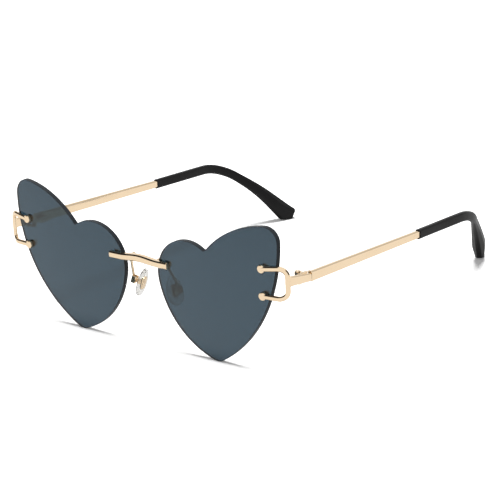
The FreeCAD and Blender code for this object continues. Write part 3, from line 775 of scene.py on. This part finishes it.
templeForm = {
    "height": 3.0, "rootGrowth": 0.9, "thickness": 1.7, "cut": 0.4, "edgeRound": 0.08, "gap": 0.15,
    "toeIn": 1.6, "slope": 3.23, "bendStart": 95.6, "bendLength": 18.0, "drop": 42.0, "inward": 30.0,
    "trackLength": 200, "step": 0.05,
    "coreHeight": 1.5, "coreThickness": 0.8, "coreCut": 0.12, "coreRound": 0.05, "coreMargin": 9.0,
    "coreOverlap": 1.0, "socketGap": 0.03, "seamCut": 0.16,
    "footBack": 0.3, "footLength": 4.6, "footHalf": 0.875, "footRound": 0.15,
    "webBack": 0.75, "webOut": 0.7, "webInset": 0.05, "webRound": 0.12,
}
tipForm = {
    "start": 67.0, "height": 3.75, "thickness": 2.4, "cut": 0.6, "cutGrowth": 0.35, "edgeRound": 0.14,
    "socket": 3.0, "socketGap": 0.06, "mouth": 0.9, "mouthFade": 12.0, "mouthCut": 0.14,
    "lipDepth": 0.06, "lipShare": 0.25, "lipLength": 0.1,
    "paddleHeight": 8.2, "flarePower": 1.5, "paddleThickness": 5.4, "peak": 0.7, "peakBlend": 0.5,
    "footThickness": 2.7, "footReach": 1.25, "toeBack": 1.6, "endLean": 25.0, "heelLift": 4.0,
    "footRound": 0.4, "footRun": 4.0, "overrun": 8.0, "bow": 1.25,
}
bendEnd = templeForm["bendStart"] + templeForm["bendLength"]


# Directions along, out of and up from the temple; yaw and pitch turn evenly from the straight's to the tip's
def templeHeading(distance):
    f = templeForm
    share = np.clip((distance - f["bendStart"]) / f["bendLength"], 0, 1)
    yaw = np.radians(f["toeIn"] + (f["inward"] - f["toeIn"]) * share)
    pitch = np.radians(f["slope"] + (f["drop"] - f["slope"]) * share)
    out = columns(np.cos(yaw), np.sin(yaw), 0)
    along = columns(-np.sin(yaw) * np.cos(pitch), np.cos(yaw) * np.cos(pitch), -np.sin(pitch))
    return along, out, np.cross(out, along)


# The centre line sums up the headings at the middles of short steps behind the seam; it ends at the table
templeSteps = np.arange(0, templeForm["trackLength"], templeForm["step"])
templeTrack = np.cumsum(templeHeading(templeSteps + templeForm["step"] / 2)[0] * templeForm["step"], axis=0)
templeTrack = np.concatenate([np.zeros((1, 3)), templeTrack[:-1]])
templeTrack += hingeForm["seam"]
templeEnd = float(np.interp(0, -templeTrack[:, 2], templeSteps))


# The centre line's point at a distance, straight between its steps
def templePoint(distance):
    return columns(*[np.interp(distance, templeSteps, track) for track in templeTrack.T])


# A profile carried along the centre line, with a distance for every ring or for every point of the grid
def templeGrid(line, profile):
    out, up = templeHeading(line)[1:]
    return templePoint(line) + out * profile[..., :1] + up * profile[..., 1:]


# The bevelled bar, whose top falls by rootGrowth from the seam to the tip, the core wire inside the tip,
# and the middle knuckle with its web and foot
def templeShells():
    f, h = templeForm, hingeForm
    barEnd = tipForm["start"] + tipForm["socket"] - f["socketGap"]
    coreStart = barEnd - f["coreOverlap"]
    s = np.concatenate([[f["gap"], f["gap"] + f["seamCut"] / 2], np.linspace(2, coreStart, 40), [barEnd]])
    small = np.where(s == s[0], f["seamCut"], 0.0)
    growth = f["rootGrowth"] * np.clip(1 - s / tipForm["start"], 0, 1)
    profile = bevelled(f["thickness"] - small, f["height"] + growth - small, f["cut"])
    profile = roundCorners(profile, f["edgeRound"])
    profile[..., 1] += growth[:, None] / 2
    shells = [tubeShell(templeGrid(s[:, None], profile))]
    s = np.linspace(coreStart, templeEnd - f["coreMargin"], 60)
    core = roundCorners(bevelled(f["coreThickness"], f["coreHeight"], f["coreCut"]), f["coreRound"], 2)
    shells.append(tubeShell(templeGrid(s[:, None], core)))
    knuckle, half = circle(48) * h["radius"], h["middleHalf"]
    shells.append(boredSlab(knuckle, h["turnBore"], hingeAxis, np.eye(3), -half, half, h["middleCut"]))
    (x, y, z), (seamX, seamY, seamZ), inset = hingeAxis, h["seam"], f["webInset"]
    end, low, high = seamY + f["footLength"], seamZ - f["footHalf"], seamZ + f["footHalf"]
    web = [x - h["radius"] + inset, y + f["webBack"], z - half], [x + f["webOut"], end - inset, high - inset]
    foot = [x - h["radius"], seamY + f["footBack"], low], [seamX, end, high]
    return shells + [roundedBox(*web, f["webRound"]), roundedBox(*foot, f["footRound"])]


addPair("templeBar", templeShells(), [goldBar], "temple", "temple")
print("temples made")


# With u the share of the straight run behind the bend: height = sleeve + flare * u^power, and
# thickness = the smaller of a rise up to the paddle's peak and a fall from there to the foot
def tipSize(distance):
    f = tipForm
    u = np.clip((distance - bendEnd) / (templeEnd - bendEnd), 0, 1)
    rising = f["thickness"] + (f["paddleThickness"] - f["thickness"]) * u / f["peak"]
    falling = f["footThickness"] + (f["paddleThickness"] - f["footThickness"]) * (1 - u) / (1 - f["peak"])
    height = f["height"] + (f["paddleHeight"] - f["height"]) * u ** f["flarePower"]
    return softMin(rising, falling, f["peakBlend"]), height


# The run behind the bend is bowed up by bow * (4t(1 - t))^2, with t from the middle of the bend to the foot
def tipLift(distance):
    start = (templeForm["bendStart"] + bendEnd) / 2
    t = np.clip((distance - start) / (templeEnd - start), 0, 1)
    return tipForm["bow"] * (4 * t * (1 - t)) ** 2


# How far the fish mouth sets each point of the end back: mouth * (1 - (height / half height)^2)
def fishMouth(profile):
    return tipForm["mouth"] * np.clip(1 - (profile[..., 1] / (tipForm["height"] / 2)) ** 2, 0, 1)


# A bevelled bar along the temple's line from the fish mouth on. It runs on past the table, and what lies
# beyond the leaning end or below the foot is held there, which leaves a flat foot on its toe, with eased
# edges: the end holds the reach past the toe to height * tan(lean), and the foot holds the height to the
# heel's slope.
def tipRings():
    f = tipForm
    bend, foot = templeForm["bendStart"], templeEnd - f["footRun"]
    s = np.concatenate([[f["start"], f["start"] + f["lipLength"]], np.linspace(f["start"] + 1.5, bend, 16),
                        np.linspace(bend, foot, 70)[1:], np.linspace(foot, templeEnd + f["overrun"], 90)[1:]])
    thickness, height = tipSize(s)
    small = np.where(s == s[0], f["mouthCut"], 0.0)
    cut = f["cut"] + f["cutGrowth"] * (thickness - f["thickness"])
    profile = roundCorners(bevelled(thickness - small, height - small, cut), f["edgeRound"])
    profile[..., 1] += tipLift(s)[:, None]
    fade = np.clip(1 - (s - f["start"]) / f["mouthFade"], 0, 1)
    rings = templeGrid(s[:, None] + fishMouth(profile) * fade[:, None], profile)
    level = unit(templeHeading(np.array(templeEnd))[0] * [1, 1, 0])
    reach = (rings - templePoint(templeEnd)) @ level - (f["footReach"] - f["toeBack"])
    over = softFloor(reach - rings[..., 2] * tangent(f["endLean"]), f["footRound"])
    rings, reach = rings - level * over[..., None], reach - over
    sole = -np.minimum(reach, 0) * tangent(f["heelLift"])
    rings[..., 2] = sole + softFloor(rings[..., 2] - sole, f["footRound"])
    return rings, profile[0]


# The socket's wall, from its floor out to the mouth: the bar's section, opened by the lip's share at the end
def socketRings(outer):
    f, gap = tipForm, tipForm["socketGap"]
    inner = outer * [(templeForm[side] + gap) / f[side] for side in ("thickness", "height")]
    lip = inner + (outer - inner) * f["lipShare"]
    rows = [templeGrid(np.full(len(inner), f["start"] + f["socket"]), inner)]
    for depth, profile in ((f["lipDepth"], inner), (0.0, lip)):
        rows.append(templeGrid(f["start"] + depth + fishMouth(profile), profile))
    return np.stack(rows)


# The socket's wall and the outside are one tube, closed by the socket's floor; the last ring lies on the toe
def tipShells():
    rings, mouthProfile = tipRings()
    return [tubeShell(np.concatenate([socketRings(mouthProfile), rings]), endCap=False)]


addPair("templeTip", tipShells(), [blackTip], "temple", "temple_tip")
print("temple tips made")

padForm = {
    "pivot": np.array([11.0343, lensFrontY + 8.9107, 21.5205]), "toMiddle": 2.9, "length": 11.4, "width": 6.8,
    "thickness": 2.6, "backDepth": 1.05, "lean": 17.5, "rake": 6.5, "splay": 17.0, "taper": 0.10,
    "sidePower": 2.4, "backPower": 6.0, "facePower": 2.6,
    "coreLength": 5.0, "coreWidth": 2.6, "coreThickness": 0.7, "coreRound": 1.0, "coreCut": 0.12,
    "tongueHalf": 0.85, "tongueTop": 2.7, "tongueFoot": 0.75, "tongueRound": 0.5, "tongueThickness": 1.0,
    "tongueBore": 0.4, "tongueCut": 0.06, "screwHalf": 1.15, "screwRadius": 0.36, "headRadius": 0.62,
    "headHeight": 0.35, "headGap": 0.02, "slot": 0.09,
}
armForm = {
    "radius": 0.5, "rootX": 6.7, "rootIn": 0.3, "back": 4.3, "knee": [9.8, lensFrontY + 6.0, 30.6],
    "bend": 1.6, "boxUp": 1.3, "boxBack": 1.25, "boxFoot": 1.5, "boxRim": 0.5, "boxHalf": 1.35,
    "boxRound": 0.1, "cheekIn": 0.65, "floorHalf": 1.0, "floorTop": -1.0,
}
padUp = unit([-tangent(padForm["lean"]), tangent(padForm["rake"]), 1])
padFlat = np.array([-math.cos(math.radians(padForm["splay"])), math.sin(math.radians(padForm["splay"])), 0])
padFace = unit(padFlat - padUp * (padFlat @ padUp))
padAcross = np.cross(padUp, padFace)
padAxes = np.stack([padAcross, padUp, padFace])


# An oval that narrows towards its top, times the share across of a bulging section:
# share = (1 - |depth|^sidePower)^(1/n), with a high n for the flat back and a low one for the crowned face
def padShells():
    f = padForm
    turn = np.linspace(-np.pi / 2, np.pi / 2, 33)[1:-1]
    depth, atBack = np.sin(turn), turn < 0
    share = (1 - np.abs(depth) ** f["sidePower"]) ** (1 / np.where(atBack, f["backPower"], f["facePower"]))
    reach = np.where(atBack, f["backDepth"], f["thickness"] - f["backDepth"])
    z = f["toMiddle"] - f["thickness"] / 2 + f["backDepth"] + reach * depth
    oval = circle(72)
    oval[:, 0] *= 1 - f["taper"] * oval[:, 1]
    oval *= [f["width"] / 2 / np.abs(oval[:, 0]).max(), f["length"] / 2]
    return [tubeShell(f["pivot"] + withDepth(share[:, None, None] * oval, z) @ padAxes)]


# The hard insert: a thin plate with rounded corners, and the tongue with the screw's bore
def padCoreShells():
    f, half, wide = padForm, padForm["coreThickness"] / 2, padForm["tongueHalf"]
    outline = roundCorners(rectangle(f["coreWidth"], f["coreLength"]), f["coreRound"], 8)
    plate = slabRings(outline, f["pivot"], padAxes, f["toMiddle"] - half, f["toMiddle"] + half, f["coreCut"])
    top, foot, deep = f["tongueTop"], -f["tongueFoot"], f["tongueThickness"] / 2
    tongue = roundCorners([[wide, top], [-wide, top], [-wide, foot], [wide, foot]], f["tongueRound"], 9)
    axes = np.stack([padUp, padFace, padAcross])
    bored = boredSlab(tongue, f["tongueBore"], f["pivot"], axes, -deep, deep, f["tongueCut"])
    return [tubeShell(plate), bored]


# The screw starts flush with one cheek of the box, and its head just clears the other
def padScrewShells():
    f = padForm
    foot = f["pivot"] - padAcross * f["screwHalf"]
    return slottedScrew(foot, padAcross, padUp, 2 * f["screwHalf"] + f["headGap"], f)


# A round wire along the route from the bridge's back to the box, and the box's two cheeks and floor
def padArmShells():
    f, half = armForm, padForm["screwHalf"]
    barBack = bridgeFront + bridgeForm["barDepth"]
    rootZ = bridgeForm["height"] + bridgeForm["rise"] * float(bridgeLift(f["rootX"]))
    boxTop = padForm["pivot"] - padFace * f["boxBack"] + padUp * f["boxUp"]
    root, turn = [f["rootX"], barBack - f["rootIn"], rootZ], [f["rootX"], barBack + f["back"], rootZ]
    route = roundedRoute([root, turn, f["knee"], boxTop], f["bend"], 14)
    along = unit(np.gradient(route, axis=0))
    side = unit(rightward - along * along[:, :1])
    shells = [sweepShell(route, side, np.cross(along, side), circle(24) * f["radius"])]
    for left, right, top in ((-half, -f["cheekIn"], f["boxRim"]), (f["cheekIn"], half, f["boxRim"]),
                             (-f["floorHalf"], f["floorHalf"], f["floorTop"])):
        low, high = [left, -f["boxHalf"], -f["boxFoot"]], [right, f["boxHalf"], top]
        shells.append(roundedBox(low, high, f["boxRound"], padForm["pivot"], padAxes))
    return shells


for pad in addPair("nosePad", padShells(), [silicone], "nose_pad", "nose_pad"):
    pad.visible_shadow = False  # clear silicone lets the light through
addPair("padCore", padCoreShells(), [gold], "nose_pad", "nose_pad_core")
addPair("padScrew", padScrewShells(), [gold], "front", "nose_pad_screw")
addPair("padArm", padArmShells(), [gold], "front", "nose_pad_arm")
print("nose pads made")

# The floor is white to mirrors and lenses, and a little over white to the camera, so only deep shade shows.
stageLook = {"floorColour": 0.80, "floorSize": 4.0, "lift": 0.2, "whiten": 0.75, "worldLight": 0.15}
# What polished metal sees in the room besides white: a way to look, the cosines where it begins and is full,
# and its level
darkCards = [((-0.62, -0.32, 0.72), 0.74, 0.90, 0.03), ((0.32, 0.72, 0.62), 0.86, 0.96, 0.65),
             ((0.94, 0.25, 0.23), 0.80, 0.93, 0.05)]
keyForm = {"strength": 2.7, "spread": 22.0}  # light straight down, from a disc this many degrees wide


# 1 where a ray from the camera, a mirror or a lens arrives, else 0
def seenRay(tree, path):
    both = arithmetic(tree, "MAXIMUM", path["Is Glossy Ray"], path["Is Transmission Ray"])
    return arithmetic(tree, "MAXIMUM", path["Is Camera Ray"], both)


# Colour = floor colour + whiten * (seen by the camera), and emission = lift * (seen at all)
def addFloor():
    f, size = stageLook, stageLook["floorSize"]
    mesh = bpy.data.meshes.new("floor")
    corners = [(-size, -size, 0), (size, -size, 0), (size, size, 0), (-size, size, 0)]
    mesh.from_pydata(corners, [], [(0, 1, 2, 3)])
    floor = addObject("floor", mesh)
    material, tree, shader = newMaterial(
        "paleFloor", Roughness=0.9, Specular_IOR_Level=0.0, Emission_Color=(1, 1, 1, 1))[:3]
    path = addNode(tree, "LightPath").outputs
    white = arithmetic(tree, "MULTIPLY_ADD", path["Is Camera Ray"], f["whiten"], f["floorColour"])
    glow = arithmetic(tree, "MULTIPLY", seenRay(tree, path), f["lift"])
    setNamed(tree, shader, Base_Color=white, Emission_Strength=glow)
    mesh.materials.append(material)


# 1 away from a direction, falling smoothly to the level around it
def darkCard(tree, place, direction, begins, full, level):
    dot = addNode(tree, "VectorMath", place, unit(direction).tolist(), operation="DOT_PRODUCT")
    card = addNode(tree, "MapRange", interpolation_type="SMOOTHSTEP", Value=dot.outputs["Value"],
                   From_Min=begins, From_Max=full, To_Min=1.0, To_Max=level)
    return card.outputs["Result"]


# a + (b - a) * factor
def mixValues(tree, factor, a, b):
    return addNode(tree, "Mix", data_type="FLOAT", Factor=factor, A=a, B=b).outputs["Result"]


# The room is white to the camera and through a lens, white with dark cards in mirrors, and dimmer as a light
def addWorld():
    world = bpy.data.worlds.new("studio")
    bpy.context.scene.world = world
    world.use_nodes = True
    tree = world.node_tree
    path = addNode(tree, "LightPath").outputs
    place = addNode(tree, "TexCoord").outputs["Generated"]
    room = 1.0
    for card in darkCards:
        room = arithmetic(tree, "MULTIPLY", room, darkCard(tree, place, *card))
    mirror = mixValues(tree, path["Is Glossy Ray"], 1.0, room)
    level = mixValues(tree, seenRay(tree, path), stageLook["worldLight"], mirror)
    setNamed(tree, tree.nodes["Background"], Color=(1, 1, 1, 1), Strength=level)


# A frame of three directions and a place, as an object's matrix
def setPlace(item, right, up, place):
    matrix = np.eye(4)
    matrix[:3, :3] = np.stack([right, up, np.cross(right, up)], -1)
    matrix[:3, 3] = place
    item.matrix_world = Matrix(matrix.tolist())


# A soft even light from straight above
def addKeyLight():
    data = bpy.data.lights.new("keyLight", "SUN")
    data.energy = keyForm["strength"]
    data.angle = math.radians(keyForm["spread"])
    lamp = addObject("keyLight", data)
    lamp.visible_glossy = False  # metal shows the room, not the lamp
    setPlace(lamp, rightward, backward, upward)


cameraForm = {
    "place": (574.365, lensFrontY - 598.3235, 313.127), "right": (0.7665563, 0.6392900, -0.0608253),
    "up": (-0.1600140, 0.2818772, 0.9460131), "focal": 170.968, "sensor": 36,
}


# The photograph's view, fitted to the lenses, the hinges and the tips
def addCamera():
    f = cameraForm
    data = bpy.data.cameras.new("photoView")
    data.sensor_width = f["sensor"]
    data.lens = f["focal"]
    camera = addObject("photoView", data)
    setPlace(camera, unit(f["right"]), unit(f["up"]), np.array(f["place"]) * mm)
    bpy.context.scene.camera = camera


addFloor()
addWorld()
addKeyLight()
addCamera()
bpy.context.scene.view_settings.view_transform = "Standard"
print("stage, light and camera set")
